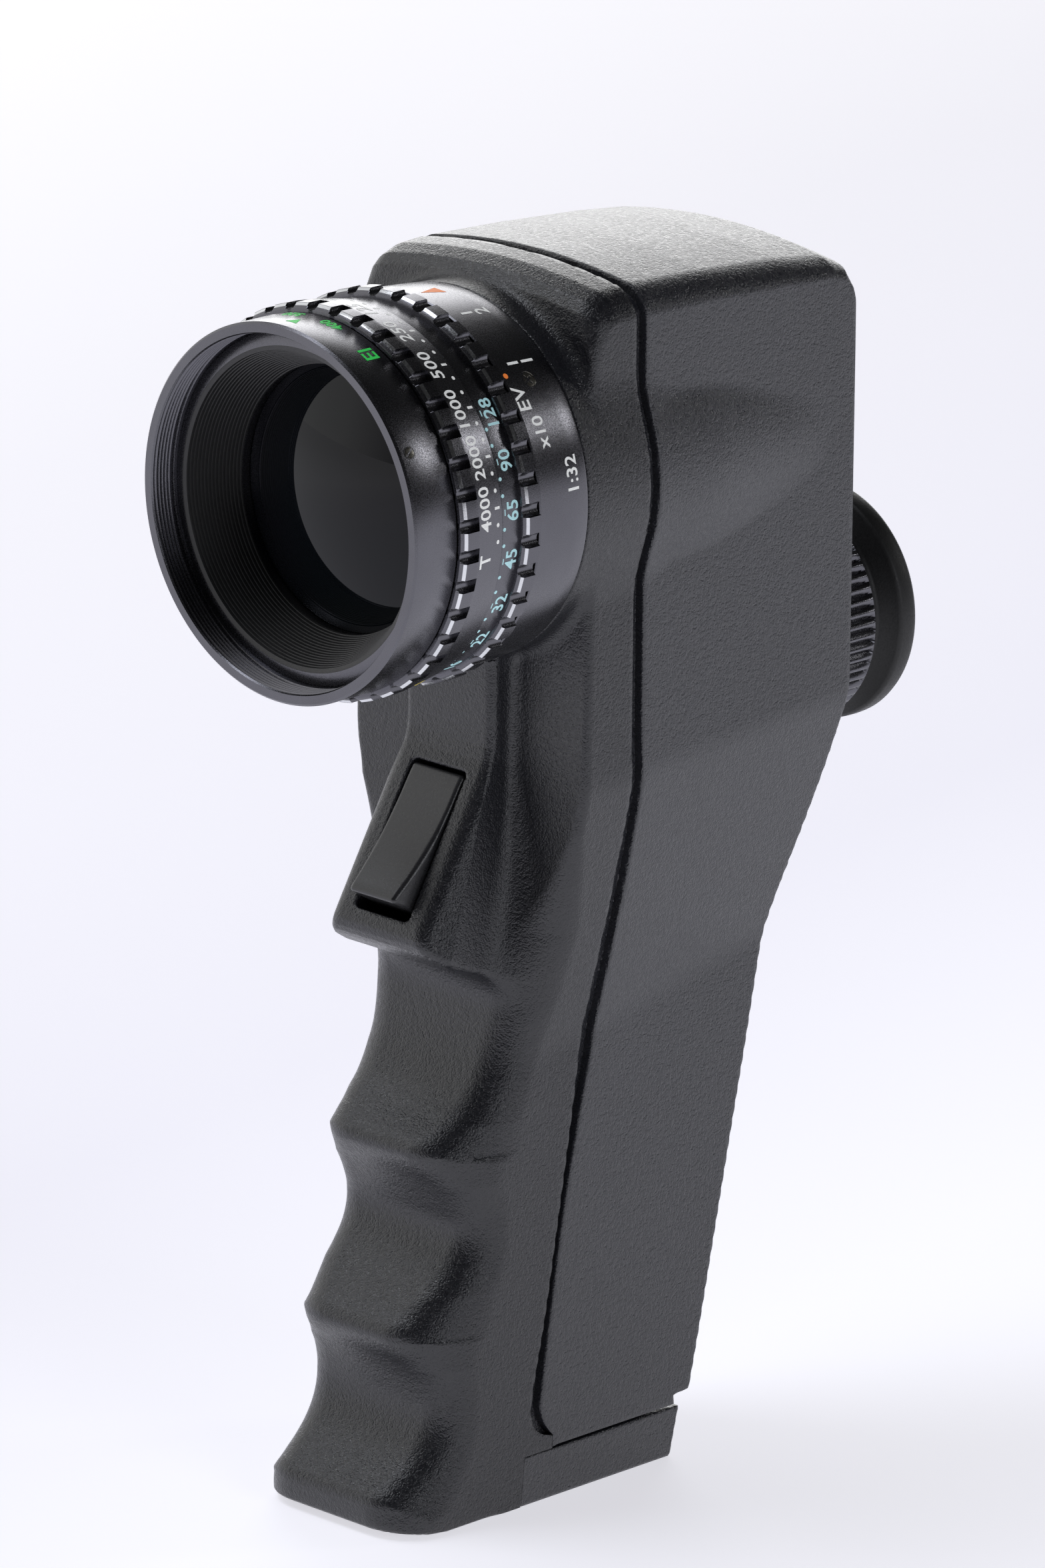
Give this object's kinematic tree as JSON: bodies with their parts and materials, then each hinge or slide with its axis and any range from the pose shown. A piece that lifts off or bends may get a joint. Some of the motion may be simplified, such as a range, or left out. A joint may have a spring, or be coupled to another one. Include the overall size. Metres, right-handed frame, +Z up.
{
  "type": "exposure spot meter",
  "caption": "Pistol-grip exposure spot meter with a lens barrel, two turning scale rings, a trigger, a sliding battery door and a focusing eyepiece.",
  "frame": {"origin": "on the flat underside of the grip's base, on the centre line, below the rear of the lens barrel", "axes": "+Z up, -Y the way the lens looks, +X the side on the user's left as they look through the eyepiece"},
  "size_m": [0.0448, 0.0882, 0.143],
  "materials": {
    "shell_front": "fine spark-textured satin black",
    "shell_rear": "fine spark-textured satin black",
    "moulding": "satin black",
    "barrel_black": "semi-gloss black",
    "steel": "plain",
    "dark_screw": "blackened",
    "brass": "plain",
    "glass": "coated",
    "mirror": "polished",
    "rubber": "matte black",
    "cell": "satin sleeve",
    "board": "green board",
    "display": "red window",
    "plunger": "red"
  },
  "bodies": {
    "body": {"front_shell": "shell_front", "rear_shell": "shell_rear", "battery": "cell", "battery_spring": "steel", "battery_tube": "moulding", "trigger_pin": "steel", "trigger_spring": "steel", "switch_body": "moulding", "front_barrel": "barrel_black", "barrel_set_screw": "dark_screw", "base_ring": "barrel_black", "base_screw": "dark_screw", "lens_tube": "barrel_black", "front_lens": "glass", "lens_retainer": "barrel_black", "rear_lens": "glass", "chassis": "moulding", "main_mirror": "mirror", "lower_prism": "glass", "field_screen": "glass", "display_bar": "display", "photocell": "steel", "circuit_board": "board", "eyepiece_tube": "barrel_black", "shell_screws": "steel"},
    "speed_dial": {"speed_ring": "barrel_black"},
    "aperture_dial": {"aperture_ring": "barrel_black"},
    "trigger_lever": {"trigger": "moulding"},
    "plunger": {"switch_plunger": "plunger"},
    "dioptre_dial": {"dioptre_ring": "barrel_black", "dioptre_screw": "dark_screw", "eyecup": "rubber"},
    "ocular": {"eye_cell": "barrel_black", "eye_lens": "glass"},
    "door": {"battery_door": "shell_rear", "door_contact": "brass"}
  },
  "joints": [
    {"name": "speed_turn", "type": "hinge", "parent": "body", "child": "speed_dial", "pos_m": [0, -0.02, 0.1195], "axis": [0, -1, 0], "range_deg": [-75, 75]},
    {"name": "aperture_turn", "type": "hinge", "parent": "body", "child": "aperture_dial", "pos_m": [0, -0.014, 0.1195], "axis": [0, -1, 0], "range_deg": [-140, 140]},
    {"name": "trigger_pull", "type": "hinge", "parent": "body", "child": "trigger_lever", "pos_m": [0, -0.00141, 0.08181], "axis": [1, 0, 0], "range_deg": [0, 6], "stiffness_Nm_per_rad": 0.08, "springref_deg": -8.59},
    {"name": "plunger_push", "type": "slide", "parent": "body", "child": "plunger", "axis": [0, 1, 0], "range_m": [0, 0.00105]},
    {"name": "dioptre_turn", "type": "hinge", "parent": "body", "child": "dioptre_dial", "pos_m": [0, 0.048, 0.0929], "axis": [0, 1, 0], "range_deg": [-70, 70]},
    {"name": "ocular_slide", "type": "slide", "parent": "body", "child": "ocular", "axis": [0, 1, 0], "range_m": [-0.00125, 0.00125]},
    {"name": "door_slide", "type": "slide", "parent": "body", "child": "door", "axis": [0, 1, 0], "range_m": [0, 0.018]}
  ],
  "couplings": [
    {"joint": "plunger_push", "follows": "trigger_pull", "m_per_rad": 0.01},
    {"joint": "ocular_slide", "follows": "dioptre_turn", "m_per_rad": 0.001}
  ]
}
